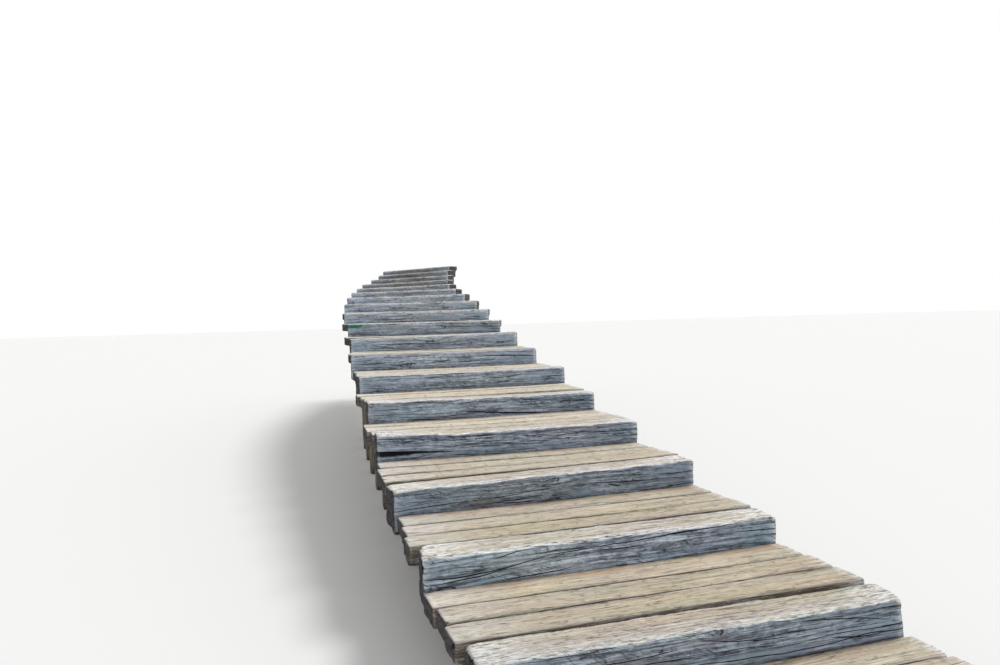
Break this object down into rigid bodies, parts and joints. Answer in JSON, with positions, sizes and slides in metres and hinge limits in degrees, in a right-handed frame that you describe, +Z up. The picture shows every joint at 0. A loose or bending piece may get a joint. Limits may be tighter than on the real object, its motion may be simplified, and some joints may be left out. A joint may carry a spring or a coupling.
{
  "type": "timber hillside steps",
  "caption": "Curving flight of weathered timber steps: squared riser beams with board treads behind them, on lapped bearers and posts.",
  "frame": {"origin": "middle of the lowest riser beam's foot, on the level that the flight stands on", "axes": "+X along the lowest riser beam to the right as one goes up, +Y the way up at the start of the flight, +Z up"},
  "size_m": [2.6724, 13.6486, 2.5314],
  "materials": {
    "riser_timber": "weathered silver grey, split and unpainted",
    "tread_timber": "weathered tan grey, trodden and unpainted",
    "support_timber": "rough sawn, dark and unpainted"
  },
  "bodies": {
    "root": {"riser_beam_00": "riser_timber", "riser_beam_01": "riser_timber", "riser_beam_02": "riser_timber", "riser_beam_03": "riser_timber", "riser_beam_04": "riser_timber", "riser_beam_05": "riser_timber", "riser_beam_06": "riser_timber", "riser_beam_07": "riser_timber", "riser_beam_08": "riser_timber", "riser_beam_09": "riser_timber", "riser_beam_10": "riser_timber", "riser_beam_11": "riser_timber", "riser_beam_12": "riser_timber", "riser_beam_13": "riser_timber", "riser_beam_14": "riser_timber", "riser_beam_15": "riser_timber", "riser_beam_16": "riser_timber", "riser_beam_17": "riser_timber", "riser_beam_18": "riser_timber", "tread_boards_00": "tread_timber", "tread_boards_01": "tread_timber", "tread_boards_02": "tread_timber", "tread_boards_03": "tread_timber", "tread_boards_04": "tread_timber", "tread_boards_05": "tread_timber", "tread_boards_06": "tread_timber", "tread_boards_07": "tread_timber", "tread_boards_08": "tread_timber", "tread_boards_09": "tread_timber", "tread_boards_10": "tread_timber", "tread_boards_11": "tread_timber", "tread_boards_12": "tread_timber", "tread_boards_13": "tread_timber", "tread_boards_14": "tread_timber", "tread_boards_15": "tread_timber", "tread_boards_16": "tread_timber", "tread_boards_17": "tread_timber", "tread_boards_18": "tread_timber", "bearers_left_even": "support_timber", "bearers_left_odd": "support_timber", "bearers_right_even": "support_timber", "bearers_right_odd": "support_timber", "posts_left": "support_timber", "posts_right": "support_timber"}
  },
  "joints": []
}
